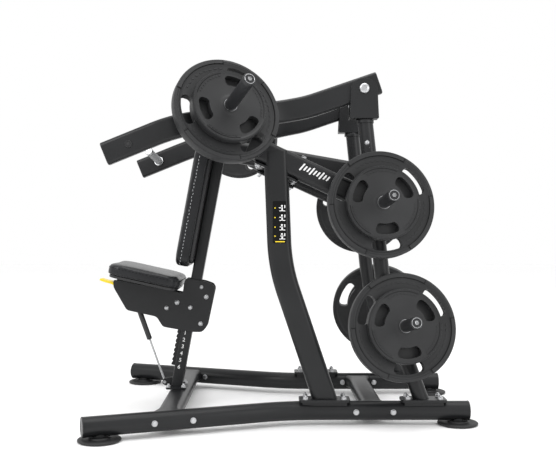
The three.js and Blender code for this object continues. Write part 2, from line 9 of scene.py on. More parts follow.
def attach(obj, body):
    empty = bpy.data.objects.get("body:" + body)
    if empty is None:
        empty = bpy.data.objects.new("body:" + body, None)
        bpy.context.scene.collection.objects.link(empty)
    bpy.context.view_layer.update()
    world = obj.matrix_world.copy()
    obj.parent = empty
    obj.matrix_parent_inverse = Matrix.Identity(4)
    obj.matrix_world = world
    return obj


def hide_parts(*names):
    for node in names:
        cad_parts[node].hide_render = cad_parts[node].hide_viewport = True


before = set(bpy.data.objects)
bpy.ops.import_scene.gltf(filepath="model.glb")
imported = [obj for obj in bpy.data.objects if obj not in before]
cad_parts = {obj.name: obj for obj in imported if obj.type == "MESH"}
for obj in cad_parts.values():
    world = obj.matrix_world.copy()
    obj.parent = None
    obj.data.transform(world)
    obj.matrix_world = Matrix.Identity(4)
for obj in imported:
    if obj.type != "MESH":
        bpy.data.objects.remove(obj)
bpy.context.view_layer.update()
scene = bpy.context.scene
MM = 0.001

# ---- camera, at the eye point of a level side view from the user's left ----
eye = bpy.data.cameras.new("camera")
eye.lens = 55.0
eye.sensor_width = 36.0
eye.shift_x = 0.0144
eye.shift_y = -0.0234
eye_object = bpy.data.objects.new("camera", eye)
eye_object.location = (3.917, -0.048, 0.845)
eye_object.rotation_euler = (math.pi / 2, 0, math.pi / 2)
scene.collection.objects.link(eye_object)
scene.camera = eye_object
scene.view_settings.view_transform = "Standard"


# ---- materials ----
def material(
    name, base, second, rough, metal=0.0, grain=600.0, grain_depth=0.1, cells=0.0, shine=0.5,
):
    """A surface of two close colours in broad clouds, with a fine grain or fine cells in colour and relief."""
    m = bpy.data.materials.new(name)
    m.use_nodes = True
    nodes, links = m.node_tree.nodes, m.node_tree.links
    shader = nodes["Principled BSDF"]
    shader.inputs["Metallic"].default_value = metal
    shader.inputs["Specular IOR Level"].default_value = shine
    place = nodes.new("ShaderNodeTexCoord")
    cloud = nodes.new("ShaderNodeTexNoise")
    cloud.inputs["Scale"].default_value = 5.0
    cloud.inputs["Detail"].default_value = 6
    links.new(place.outputs["Object"], cloud.inputs["Vector"])
    ramp = nodes.new("ShaderNodeValToRGB")
    ramp.color_ramp.elements[0].position = 0.32
    ramp.color_ramp.elements[1].position = 0.68
    ramp.color_ramp.elements[0].color = (*base, 1)
    ramp.color_ramp.elements[1].color = (*second, 1)
    links.new(cloud.outputs["Fac"], ramp.inputs["Fac"])
    fine = nodes.new("ShaderNodeTexVoronoi" if cells else "ShaderNodeTexNoise")
    fine.inputs["Scale"].default_value = cells or grain
    links.new(place.outputs["Object"], fine.inputs["Vector"])
    fine_out = fine.outputs["Distance" if cells else "Fac"]
    tint = nodes.new("ShaderNodeMix")
    tint.data_type = "RGBA"
    tint.blend_type = "MULTIPLY"
    tint.inputs["Factor"].default_value = 0.25
    links.new(ramp.outputs["Color"], tint.inputs["A"])
    lift = nodes.new("ShaderNodeMapRange")
    lift.inputs["To Min"].default_value = 0.7 if grain_depth else 1.0
    lift.inputs["To Max"].default_value = 1.25 if grain_depth else 1.0
    links.new(fine_out, lift.inputs["Value"])
    links.new(lift.outputs["Result"], tint.inputs["B"])
    links.new(tint.outputs["Result"], shader.inputs["Base Color"])
    gloss = nodes.new("ShaderNodeMapRange")
    gloss.inputs["To Min"].default_value = rough[0]
    gloss.inputs["To Max"].default_value = rough[1]
    links.new(cloud.outputs["Fac"], gloss.inputs["Value"])
    links.new(gloss.outputs["Result"], shader.inputs["Roughness"])
    bump = nodes.new("ShaderNodeBump")
    bump.inputs["Strength"].default_value = grain_depth
    bump.inputs["Distance"].default_value = 0.0006
    links.new(fine_out, bump.inputs["Height"])
    links.new(bump.outputs["Normal"], shader.inputs["Normal"])
    return m


COAT = material(
    "powder_coat", (0.0085, 0.0088, 0.0095), (0.0125, 0.013, 0.014), (0.30, 0.40), grain=900,
    grain_depth=0.16, shine=0.3,
)
IRON = material(
    "plate_enamel", (0.0165, 0.0168, 0.0175), (0.025, 0.0255, 0.0265), (0.40, 0.54), cells=420,
    grain_depth=0.22, shine=0.3,
)
STEEL = material(
    "zinc_plate", (0.40, 0.405, 0.415), (0.55, 0.555, 0.565), (0.24, 0.38), metal=1.0, grain=500,
    grain_depth=0.05,
)
SLEEVE = material(
    "sleeve_paint", (0.012, 0.0125, 0.0135), (0.019, 0.0195, 0.021), (0.28, 0.38), grain=700,
    grain_depth=0.1, shine=0.35,
)
RUBBER = material(
    "black_rubber", (0.008, 0.008, 0.0085), (0.013, 0.013, 0.014), (0.5, 0.66), grain=700, grain_depth=0.3,
)
VINYL = material(
    "pad_vinyl", (0.010, 0.0104, 0.0115), (0.016, 0.0165, 0.018), (0.24, 0.33),
    cells=560, grain_depth=0.16, shine=0.24,
)
THREAD = material(
    "thread", (0.34, 0.35, 0.36), (0.46, 0.47, 0.48), (0.6, 0.75), grain=2000, grain_depth=0.4,
)
# Near-black: painted shade in the plates' grooves and at the rim's steps. The seat's stitches use this colour
# too.
SHADE_AND_THREAD = material(
    "painted_shade_and_thread", (0.004, 0.004, 0.0042), (0.007, 0.007, 0.0072), (0.6, 0.75), grain=900, grain_depth=0.1,
    shine=0.2,
)
# Light grey: painted highlight, dashes on the plates' outer edges and slot lips.
PAINTED_HIGHLIGHT = material(
    "plate_painted_highlight", (0.075, 0.076, 0.079), (0.12, 0.121, 0.125), (0.34, 0.5), grain=500, grain_depth=0.2,
)
GREY_RUBBER = material(
    "grey_rubber", (0.20, 0.205, 0.21), (0.28, 0.285, 0.29), (0.42, 0.55), grain=800, grain_depth=0.2,
)
PLASTIC = material(
    "moulded_plastic", (0.009, 0.009, 0.01), (0.014, 0.014, 0.015), (0.36, 0.48), grain=800,
    grain_depth=0.12,
)
CARD = material(
    "placard_film", (0.0022, 0.0022, 0.0024), (0.0035, 0.0035, 0.0037), (0.4, 0.5), grain=600,
    grain_depth=0.05, shine=0.15,
)
YELLOW = material(
    "yellow_lever", (0.86, 0.62, 0.01), (0.92, 0.70, 0.02), (0.28, 0.38), grain=700, grain_depth=0.06,
)
WHITE = material(
    "white_print", (0.78, 0.78, 0.78), (0.86, 0.86, 0.86), (0.45, 0.55), grain=900, grain_depth=0.04,
)
SILVER_ROD = material(
    "chromed_rod", (0.30, 0.305, 0.31), (0.42, 0.425, 0.43), (0.16, 0.26), metal=1.0, grain=400,
    grain_depth=0.02,
)


# ---- mesh helpers, in millimetres ----
def v3(x, y, z):
    return Vector((x, y, z))


def evaluated(obj):
    """A new mesh of the object with its modifiers applied."""
    return bpy.data.meshes.new_from_object(obj.evaluated_get(bpy.context.evaluated_depsgraph_get()))


def face_outwards(mesh):
    work = bmesh.new()
    work.from_mesh(mesh)
    bmesh.ops.recalc_face_normals(work, faces=work.faces)
    work.to_mesh(mesh)
    work.free()


def new_object(name, data):
    obj = bpy.data.objects.new(name, data)
    scene.collection.objects.link(obj)
    return obj


X_AXIS, Y_AXIS, Z_AXIS = v3(1, 0, 0), v3(0, 1, 0), v3(0, 0, 1)


def loft(rings, looped=False):
    """A skin over rings of points, closed at both ends or looped."""
    count = len(rings[0])
    verts = [p.copy() for ring in rings for p in ring]
    faces = []
    steps = len(rings) if looped else len(rings) - 1
    for r in range(steps):
        a, b = r * count, ((r + 1) % len(rings)) * count
        for i in range(count):
            j = (i + 1) % count
            faces.append((a + i, a + j, b + j, b + i))
    if not looped:
        faces.append(tuple(range(count))[::-1])
        last = (len(rings) - 1) * count
        faces.append(tuple(range(last, last + count)))
    return verts, faces


def rounded(line, reach, steps=12):
    """A line with its bends rounded over a reach on each side."""
    points = [line[0].copy()]
    for i in range(1, len(line) - 1):
        before, after = line[i - 1] - line[i], line[i + 1] - line[i]
        r = min(reach, before.length * 0.45, after.length * 0.45)
        start, end = line[i] + before.normalized() * r, line[i] + after.normalized() * r
        for s in range(steps + 1):
            t = s / steps
            points.append(start * (1 - t) ** 2 + line[i] * 2 * t * (1 - t) + end * t * t)
    points.append(line[-1].copy())
    return points


def sweep(line, profile, side):
    """A profile carried along a line, its width kept towards side."""
    rings = []
    for i, p in enumerate(line):
        along = Vector()
        if i > 0:
            along += (p - line[i - 1]).normalized()
        if i < len(line) - 1:
            along += (line[i + 1] - p).normalized()
        along.normalize()
        up = along.cross(side).normalized()
        across = up.cross(along).normalized()
        rings.append([p + across * u + up * w for u, w in profile])
    return loft(rings)


def circle(radius, segments=40):
    return [
        (radius * math.cos(2 * math.pi * i / segments), radius * math.sin(2 * math.pi * i / segments))
        for i in range(segments)
    ]


def rounded_box(width, height, radius, steps=8):
    points = []
    for corner, (sx, sy) in enumerate(((1, 1), (-1, 1), (-1, -1), (1, -1))):
        for s in range(steps + 1):
            angle = math.pi / 2 * (corner + s / steps)
            points.append((
                sx * (width / 2 - radius) + radius * math.cos(angle),
                sy * (height / 2 - radius) + radius * math.sin(angle),
            ))
    return points


def turned(profile, segments=48):
    """A profile of radius and height turned round Z."""
    verts, faces, starts = [], [], []
    for r, z in profile:
        starts.append(len(verts))
        for i in range(1 if r == 0 else segments):
            angle = 2 * math.pi * i / segments
            verts.append(v3(r * math.cos(angle), r * math.sin(angle), z))
    opened = profile[0][0] == 0
    for p in range(len(profile) - 1 if opened else len(profile)):
        q = (p + 1) % len(profile)
        for i in range(segments):
            j = (i + 1) % segments
            loop = []
            for point, step in ((p, i), (p, j), (q, j), (q, i)):
                index = starts[point] + (0 if profile[point][0] == 0 else step)
                if index not in loop:
                    loop.append(index)
            if len(loop) > 2:
                faces.append(tuple(loop))
    return verts, faces


def placed(shape, origin, way):
    """A shape moved to an origin, with its Z turned to a way."""
    z = way.normalized()
    x = Z_AXIS.cross(z)
    x = x.normalized() if x.length > 1e-6 else X_AXIS.copy()
    y = z.cross(x)
    verts, faces = shape
    return [origin + x * p.x + y * p.y + z * p.z for p in verts], faces


def moved(shape, matrix):
    return [matrix @ p for p in shape[0]], shape[1]


def slab(cx, cy, cz, sx, sy, sz):
    outline = [(sx / 2, sy / 2), (-sx / 2, sy / 2), (-sx / 2, -sy / 2), (sx / 2, -sy / 2)]
    return loft([[v3(cx + x, cy + y, cz + z) for x, y in outline] for z in (-sz / 2, sz / 2)])


def side_plate(outline, x0, x1):
    """A flat plate across X, from an outline of Y and Z."""
    return loft([[v3(x, y, z) for y, z in outline] for x in (x0, x1)])


def together(*shapes):
    verts, faces = [], []
    for shape in shapes:
        offset = len(verts)
        verts += shape[0]
        faces += [tuple(i + offset for i in f) for f in shape[1]]
    return verts, faces


def softened(outline, radius, steps=5):
    """An outline of pairs with its corners rounded."""
    out = []
    for i, p in enumerate(outline):
        a, b, c = Vector(outline[i - 1]), Vector(p), Vector(outline[(i + 1) % len(outline)])
        r = min(radius, (a - b).length * 0.4, (c - b).length * 0.4)
        start, end = b + (a - b).normalized() * r, b + (c - b).normalized() * r
        for s in range(steps + 1):
            t = s / steps
            q = start * (1 - t) ** 2 + b * 2 * t * (1 - t) + end * t * t
            out.append((q.x, q.y))
    return out


def piece(name, shape, skin, body, stands_for=(), bevel=0.0, sharp=35, mirror=False, segments=3):
    verts, faces = shape
    mesh = bpy.data.meshes.new(name)
    flip = -1 if mirror else 1
    mesh.from_pydata([(p.x * MM * flip, p.y * MM, p.z * MM) for p in verts], [], faces)
    face_outwards(mesh)
    for face in mesh.polygons:
        face.use_smooth = True
    mesh.set_sharp_from_angle(angle=math.radians(sharp))
    mesh.materials.append(skin)
    obj = new_object(name, mesh)
    if bevel:
        edge = obj.modifiers.new("edge", "BEVEL")
        edge.width = bevel * MM
        edge.segments = segments
        edge.limit_method = "ANGLE"
        edge.angle_limit = math.radians(sharp)
        edge.harden_normals = True
    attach(obj, body)
    if stands_for:
        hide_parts(*stands_for)
    return obj


def pair(name, shape, skin, body, stands_for=(), **options):
    """The same piece on both sides. A body or node written with {} gets the side's name."""
    made = []
    for side, mirror in (("left", False), ("right", True)):
        nodes = [n.format(side) for n in stands_for]
        made.append(
            piece(f"{side}_{name}_look", shape, skin, body.format(side), nodes, mirror=mirror, **options)
        )
    return made


def fastener(radius, height, stud=6.0, dome=False):
    """A nut or a bolt head standing on Z = 0, with its washer and the end of its stud."""
    base = 2.2
    top = base + height
    washer_profile = [(0, 0), (radius * 1.12, 0), (radius * 1.12, 1.6), (radius * 1.06, base), (0, base)]
    parts = [turned(washer_profile, 28)]
    if dome:
        dome_profile = [
            (0, base), (radius, base), (radius * 0.98, base + 2), (radius * 0.82, base + 4.4),
            (radius * 0.5, base + 5.8), (radius * 0.42, base + 5.8), (radius * 0.36, base + 3),
            (0, base + 3),
        ]
        parts.append(turned(dome_profile, 28))
    else:
        hex_profile = [(0, base), (radius, base), (radius, top - 1.2), (radius * 0.88, top), (0, top)]
        parts.append(turned(hex_profile, 6))
        if stud:
            stud_profile = [(0, top), (stud, top), (stud, top + 5), (stud * 0.8, top + 6.5), (0, top + 6.5)]
            parts.append(turned(stud_profile, 20))
    return together(*parts)


# ---- centre lines, as in the frame ----
RAIL_Z = 59.5
RAIL_R = 40
RAIL = [v3(636, -773, RAIL_Z), v3(335, 36, RAIL_Z), v3(335, 786, RAIL_Z)]
UPRIGHT = [v3(330, -27, 1230), v3(330, -5, 664), v3(335, 191, 84)]
COLUMN = [v3(281, 358, 1296), v3(300, 441, 520), v3(335, 597, 84)]
SIDE_TUBE = [v3(331, -138, 1178), v3(303, 396, 932)]
BEAM = [v3(0, -286, 1190.5), v3(0, 357, 1077.5)]
ARM = [v3(285, 414, 1447), v3(285, 112, 1344), v3(290, 12, 1325), v3(475, -433, 1243), v3(475, -716, 1128)]
PIVOT = v3(285, 352, 1420)
# Each peg: its root, its way out, how far along it the plates stop, how far its tip is, the slots' turn.
PEGS = {
    "arm": (v3(404, -256, 1275), v3(1, 0.426, 0.381), 62, 357, 63),
    "upper": (v3(290, 400, 909), v3(1, 0.133, 0.167), 76, 305, -85),
    "lower": (v3(310, 485, 398), v3(1, 0.138, 0.209), 78, 302, -85),
}


def rail_x(y):
    """Where the middle of the left rail is across the machine: straight behind, splayed in front."""
    return 335 if y >= 36 else 335 + (36 - y) / 809 * 301


# ---- base ----
front_way = (RAIL[0] - RAIL[1]).normalized()
front_out = v3(-front_way.y, front_way.x, 0)
rail_shape = sweep(rounded(RAIL, 130), circle(RAIL_R, 48), Z_AXIS)
pair("rail", rail_shape, COAT, "frame", ["{}_rail"], bevel=0.8)
plug = turned(
    [
        (0, -4), (38, -4), (38, 0), (RAIL_R + 0.8, 0.2), (RAIL_R + 0.8, 2.2), (38, 4.4), (24, 5),
        (22, 4), (0, 4),
    ],
    48,
)
pair("front_plug", placed(plug, RAIL[0], front_way), PLASTIC, "frame")
pair("rear_plug", placed(plug, RAIL[2], Y_AXIS), PLASTIC, "frame")
foot = turned([
    (0, 0), (74, 0), (80, 1.5), (84.4, 4), (85, 6), (84.6, 9.5), (82, 11.5), (75, 13.2), (66, 14),
    (60, 12.4), (48, 12.2), (44, 13), (42, 16), (40, 17.6), (0, 17.6),
], 64)
boss = turned([(0, 0), (26, 0), (26, 24), (0, 24)], 32)
for y, which in ((-712, "front_foot"), (743, "rear_foot")):
    at = v3(rail_x(y), y, 0)
    pair(which, moved(foot, Matrix.Translation(at)), RUBBER, "frame", ["{}_" + which])
    pair(which + "_boss", moved(boss, Matrix.Translation(at + v3(0, 0, 17.8))), COAT, "frame")
bolt = fastener(11, 8, stud=0)
for i, y in enumerate((-515, -368)):
    seat = v3(rail_x(y), y, RAIL_Z) + front_out * (RAIL_R - 1.5)
    pair(f"front_rail_bolt_{i}", placed(bolt, seat, front_out), STEEL, "frame")
    pair(
        f"front_rail_nut_{i}",
        placed(bolt, v3(rail_x(y), y, RAIL_Z) - front_out * (RAIL_R - 1.5), -front_out), STEEL, "frame",
    )
for i, y in enumerate((312, 467)):
    pair(f"rear_rail_bolt_{i}", placed(bolt, v3(335 + RAIL_R - 1.5, y, RAIL_Z), X_AXIS), STEEL, "frame")
    pair(f"rear_rail_nut_{i}", placed(bolt, v3(335 - RAIL_R + 1.5, y, RAIL_Z), -X_AXIS), STEEL, "frame")


def crossmember(y, half, flare):
    rings = []
    for i in range(-24, 25):
        t = i / 24
        spread = flare * max(0.0, (abs(t) - 0.78) / 0.22) ** 1.6
        profile = rounded_box(98 + 2 * spread, 60, 26)
        rings.append([v3(t * half, y + u, 62 + w) for u, w in profile])
    return loft(rings)


piece(
    "front_crossmember_look", crossmember(-462, rail_x(-462) - 16, 26), COAT, "frame",
    ["front_crossmember"],
)
piece("rear_crossmember_look", crossmember(387, 313, 24), COAT, "frame", ["rear_crossmember"])

# ---- uprights ----
oval = rounded_box(52, 102, 25, 12)
side_way = (SIDE_TUBE[1] - SIDE_TUBE[0]).normalized()
side_down = side_way.cross(X_AXIS).normalized()
if side_down.z > 0:
    side_down.negate()


def tube_at(y):
    return SIDE_TUBE[0] + side_way * ((y - SIDE_TUBE[0].y) / side_way.y)


upright_line = rounded([v3(330, -24, 1150)] + UPRIGHT[1:], 110)
pair("upright", sweep(upright_line, oval, X_AXIS), COAT, "frame", ["{}_upright"])
flange_middle = tube_at(0) + side_down * 54
tube_turn = Matrix((
    (X_AXIS.x, side_way.x, side_down.x), (X_AXIS.y, side_way.y, side_down.y),
    (X_AXIS.z, side_way.z, side_down.z),
)).to_4x4()


def flange_plate(width, length, thick, corner):
    outline = rounded_box(width, length, corner, 5)
    return loft([[v3(x, y, z) for x, y in outline] for z in (-thick / 2, thick / 2)])


pair(
    "tube_flange", moved(flange_plate(56, 200, 9, 20), Matrix.Translation(flange_middle) @ tube_turn), COAT,
    "frame", bevel=1,
)
head = fastener(12, 9, stud=6)
for i, reach in enumerate((-82, 82)):
    low = tube_at(0) + side_way * reach + side_down * 58
    pair(f"tube_nut_{i}", placed(head, low, side_down), STEEL, "frame")
    high = tube_at(0) + side_way * reach - side_down * 47.5
    pair(f"tube_bolt_{i}", placed(fastener(11, 7, stud=0), high, -side_down), STEEL, "frame")


def rail_flange(name, y, length, width, reach):
    top = RAIL_Z + RAIL_R + 6
    plate = moved(flange_plate(width, length, 11, 16), Matrix.Translation(v3(335, y, top)))
    pair(name, plate, COAT, "frame", bevel=1.2)
    pair(name + "_saddle", slab(335, y, RAIL_Z + 30, 62, length - 26, 24), COAT, "frame", bevel=2)
    for sx in (-1, 1):
        for sy in (-1, 1):
            seat = v3(335 + sx * (width / 2 - 17), y + sy * reach, top + 5.5)
            pair(
                f"{name}_nut_{(sx + 1) // 2}{(sy + 1) // 2}", placed(fastener(11, 9, stud=6), seat, Z_AXIS),
                STEEL, "frame",
            )


rail_flange("upright_flange", 181, 214, 96, 80)
rail_flange("column_flange", 597, 190, 92, 68)

# ---- top frame ----
pair(
    "side_tube", sweep(SIDE_TUBE, rounded_box(52, 98, 25, 12), X_AXIS), COAT, "frame", ["{}_side_tube"],
    bevel=2,
)
piece(
    "centre_beam_look", sweep(BEAM, rounded_box(52, 100, 25, 12), X_AXIS), COAT, "frame", ["centre_beam"],
    bevel=2,
)
bar = rounded_box(50, 90, 24, 10)
piece(
    "front_crossbar_look", sweep([v3(-310, -93, 1157), v3(310, -93, 1157)], bar, Y_AXIS), COAT, "frame",
    ["front_crossbar"],
)
piece(
    "rear_crossbar_look", sweep([v3(-280, 382, 1074), v3(280, 382, 1074)], bar, Y_AXIS), COAT, "frame",
    ["rear_crossbar"],
)

# ---- rear columns, yokes and pivots ----
pair("column", sweep(rounded(COLUMN, 120), circle(32.5, 44), X_AXIS), COAT, "frame", ["{}_column"])
ear = [(PIVOT.y - 62, 1294), (PIVOT.y + 62, 1294)]
for s in range(19):
    angle = math.pi * s / 18
    ear.append((PIVOT.y + 56 * math.cos(angle), PIVOT.z + 44 * math.sin(angle)))
pair("yoke_outer", side_plate(ear, 313, 322), COAT, "frame", bevel=1.2)
pair("yoke_inner", side_plate(ear, 248, 257), COAT, "frame", bevel=1.2)
pair("yoke_floor", slab(285, PIVOT.y, 1298, 72, 122, 10), COAT, "frame", bevel=1.5)
pair(
    "yoke_collar",
    moved(
        turned([(0, -14), (38, -14), (38, -2), (34, 2), (0, 2)], 44),
        Matrix.Translation(v3(281, 358, 1290)),
    ),
    COAT, "frame",
)
axle = turned([
    (0, -47.3), (15, -47.3), (17, -45.5), (17, -37.3), (12, -37.3), (12, 37.3), (21.5, 37.3), (21.5, 40),
    (20, 42.6), (15, 45), (9, 46), (8, 44.6), (0, 44.6),
], 48)
pair("pivot_axle", placed(axle, PIVOT, X_AXIS), STEEL, "frame", ["{}_pivot_axle"])
pair("column_screw", placed(fastener(9, 7, dome=True), v3(314, 364, 1190), X_AXIS), STEEL, "frame")
pair(
    "column_screw_low", placed(fastener(6, 6, dome=True), v3(308, 375, 1168), v3(1, 0.3, 0)), STEEL,
    "frame",
)

# ---- press arms ----
arm_line = rounded(ARM, 90, 14)
pair("arm", sweep(arm_line, rounded_box(50, 96, 16, 8), X_AXIS), COAT, "{}_arm", ["{}_arm"], bevel=1.5)
end_back = (ARM[0] - ARM[1]).normalized()
end_front = (ARM[-1] - ARM[-2]).normalized()


def end_cap(at, way):
    up = way.cross(X_AXIS).normalized()
    rings = []
    for reach, inset in ((-3, 1), (1.5, 1), (2.6, 2.4)):
        profile = rounded_box(50 - 2 * inset, 96 - 2 * inset, 15, 8)
        rings.append([at + way * reach + X_AXIS * u + up * w for u, w in profile])
    return loft(rings)


pair("arm_rear_cap", end_cap(ARM[0], end_back), PLASTIC, "{}_arm")
pair("arm_front_cap", end_cap(ARM[-1], end_front), PLASTIC, "{}_arm")
grip_centre = v3(475, -618, 1167)
grip_root = grip_centre - X_AXIS * 25.3
GRIP_WAY = v3(-1, -0.2, 0.25)
pair(
    "grip_cap",
    placed(
        turned([(0, 0), (15, 0), (15, 3.6), (14, 5), (11, 5), (10, 3.6), (8, 3.6), (7, 5.2), (0, 5.4)], 36),
        grip_centre + X_AXIS * 24, X_AXIS,
    ),
    PLASTIC, "{}_arm",
)
bar_profile = [
    (0, -9), (24, -9), (24, 6), (22.5, 8), (14, 8.6), (12, 10), (12, 152), (18.4, 152), (19, 153),
    (19, 160), (17, 163), (11, 164), (0, 164),
]
pair(
    "grip_bar", placed(turned(bar_profile, 44), grip_root, GRIP_WAY), SILVER_ROD, "{}_arm", ["{}_grip_bar"],
)
sleeve = [(12.4, 10.6), (17, 10.6), (19, 12.5)]
for i in range(34):
    z = 16 + i * 4
    swell = 0.9 * math.sin(math.pi * i / 33)
    sleeve += [
        (18.4 - swell * 0.4, z - 1.2), (18.4 - swell * 0.4, z + 0.8), (17.7 - swell * 0.4, z + 1.4),
        (17.7 - swell * 0.4, z + 2.4),
    ]
sleeve += [(19, 150), (17, 151.6), (12.4, 151.6)]
pair(
    "grip_sleeve", placed(turned(sleeve, 40), grip_root, GRIP_WAY), GREY_RUBBER, "{}_arm",
    ["{}_grip_sleeve"],
)
pair(
    "arm_stop",
    placed(turned([(0, 0), (25, 0), (25, 60), (21, 62), (0, 62)], 40), v3(330, -110, 1206), Z_AXIS), RUBBER,
    "frame", ["{}_arm_stop"],
)


# ---- weight plates ----
def arc_prism(inner, outer, spread, corner, depth):
    """A grip slot: an arc with rounded ends, cut right through."""
    outline = []
    steps = 14
    swing = math.degrees(corner / outer)
    for s in range(steps + 1):
        outline.append((outer, -spread + swing + (2 * spread - 2 * swing) * s / steps))
    for s in range(1, 6):
        a = math.pi / 2 * s / 6
        outline.append((outer - corner + corner * math.cos(a), spread - swing + swing * math.sin(a)))
    for s in range(0, 6):
        a = math.pi / 2 * s / 6
        outline.append((inner + corner - corner * math.sin(a), spread - swing + swing * math.cos(a)))
    for s in range(steps + 1):
        outline.append((inner, spread - swing - (2 * spread - 2 * swing) * s / steps))
    for s in range(1, 6):
        a = math.pi / 2 * s / 6
        outline.append((inner + corner - corner * math.cos(a), -spread + swing - swing * math.sin(a)))
    for s in range(0, 6):
        a = math.pi / 2 * s / 6
        outline.append((outer - corner + corner * math.sin(a), -spread + swing - swing * math.cos(a)))
    ring = [(r * math.cos(math.radians(d)), r * math.sin(math.radians(d))) for r, d in outline]
    return loft([[v3(x, y, z) for x, y in ring] for z in (-depth, 2 * depth)])


def raised_arc(inner, outer, start, end, low, high):
    """A low raised arc on a plate's face."""
    steps = max(2, int(abs(end - start) / 2.5))
    rings = []
    for s in range(steps + 1):
        angle = math.radians(start + (end - start) * s / steps)
        ways = ((inner, low), (inner + 0.6, high), (outer - 0.6, high), (outer, low))
        rings.append([v3(r * math.cos(angle), r * math.sin(angle), z) for r, z in ways])
    return loft(rings)


def plate_shape(radius, thick, rim, web, dish, hub, slot, turn):
    """One plate in its own frame, bore along Z, as a mesh with three grip slots and raised marks. Apart from
    it come near-black strips of painted shade at its steps and light dashes of painted highlight on its edges
    and slot lips.
    """
    def face(sign, level):
        return [
            (26.2, level), (hub - 3, level), (hub, level - sign * 1.2),
            (hub + 5, level - sign * dish * 0.75), (hub + 14, level - sign * dish),
            (web - 8, level - sign * dish), (web - 2, level - sign * dish * 0.8),
            (rim - 2, level - sign * 1.5), (rim, level), (rim + 4, level), (rim + 5, level - sign * 1.2),
            (rim + 6.4, level - sign * 1.2), (rim + 7.4, level), (radius - 4, level),
            (radius - 1, level - sign * 1.4), (radius, level - sign * 4),
        ]

    profile = face(-1, 0) + face(1, thick)[::-1]
    body = turned(profile, 120)
    mesh = bpy.data.meshes.new("plate")
    mesh.from_pydata([tuple(p * MM) for p in body[0]], [], body[1])
    obj = new_object("plate_body", mesh)
    for step in (0, 120, 240):
        cutter = arc_prism(slot[0], slot[1], slot[2], slot[3], thick)
        cut_mesh = bpy.data.meshes.new("slot")
        spin = Matrix.Rotation(math.radians(turn + step), 4, "Z")
        cut_mesh.from_pydata([tuple((spin @ p) * MM) for p in cutter[0]], [], cutter[1])
        tool = new_object("slot_tool", cut_mesh)
        for m in (mesh, cut_mesh):
            face_outwards(m)
        through = obj.modifiers.new("slot", "BOOLEAN")
        through.operation = "DIFFERENCE"
        through.solver = "EXACT"
        through.object = tool
        mesh = evaluated(obj)
        obj.modifiers.clear()
        obj.data = mesh
        bpy.data.objects.remove(tool)
    verts = [v.co / MM for v in mesh.vertices]
    faces = [tuple(p.vertices) for p in mesh.polygons]
    bpy.data.objects.remove(obj)
    marks, painted_shade_strips, highlight_dashes = [], [], []
    level = thick - dish
    for step in (0, 120, 240):
        first = turn + step + slot[2] + 5
        last = first + 110 - 2 * slot[2]
        if radius > 200:
            marks.append(raised_arc(rim - 1, radius - 3, first, last, thick - 3, thick + 2.4))
            # A near-black strip along the foot of the rim band and at each of its steps: painted shade.
            painted_shade_strips.append(raised_arc(rim - 3.4, rim - 1, first - 1, last + 1, thick - 3.4, thick + 0.9))
            for end in (first, last):
                painted_shade_strips.append(
                    raised_arc(rim - 3.4, radius - 3, end - 0.5, end + 0.5, thick - 3.4, thick + 2.5)
                )
        else:
            # A near-black ring just inside the rim: painted shade.
            painted_shade_strips.append(raised_arc(rim - 4, rim - 2.4, first, last, thick - 3, thick + 0.5))
        inner = web - 19 if radius > 200 else web - 12
        for k in range(9):
            a = first + 2 + (last - first - 4) * k / 9
            marks.append(
                raised_arc(inner, inner + 7, a, a + (last - first) * 0.055, level - 0.2, level + 1.7)
            )
        for k in range(12):
            # Light dashes along the outer edge, and below them at the slot lips: painted highlight.
            a = first + (last - first) * k / 12
            highlight_dashes.append(raised_arc(radius - 4.2, radius - 3.2, a, a + 2.2, thick - 1, thick + 0.4))
        for lip, sweep_by in ((slot[0] - 1.2, slot[2] - 8), (slot[1] + 0.2, slot[2] - 7)):
            for k in range(-2, 3):
                a = turn + step + k * sweep_by / 2.4
                highlight_dashes.append(raised_arc(lip, lip + 0.9, a - 1.6, a + 1.6, level - 0.6, level + 0.35))
    return (verts, faces), together(*marks), together(*painted_shade_strips), together(*highlight_dashes)


